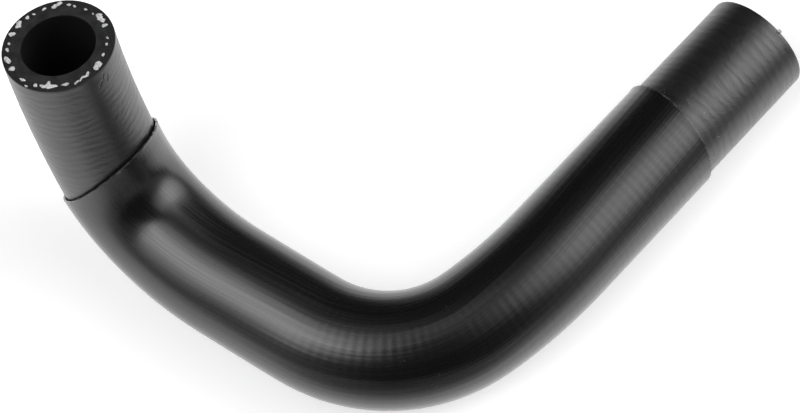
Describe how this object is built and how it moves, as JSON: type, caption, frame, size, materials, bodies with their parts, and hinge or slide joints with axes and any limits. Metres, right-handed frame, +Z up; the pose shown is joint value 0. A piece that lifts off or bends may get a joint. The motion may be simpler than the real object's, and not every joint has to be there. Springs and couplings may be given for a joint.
{
  "type": "heater hose",
  "caption": "Moulded rubber heater hose bent in two planes, with a smooth protective sleeve over its middle and plain clamp-on ends.",
  "frame": {"origin": "on the floor, under the centre of the box of the object as it lies at rest", "axes": "+Z up; +X to the right and +Y away from the viewer as the picture shows it, looking down on the object"},
  "size_m": [0.1728, 0.098, 0.0632],
  "materials": {
    "hose_rubber": "matt black vulcanised rubber with a wrapped-cloth imprint",
    "sleeve_rubber": "smooth satin black"
  },
  "bodies": {
    "root": {"hose": "hose_rubber", "protective_sleeve": "sleeve_rubber"}
  },
  "joints": []
}
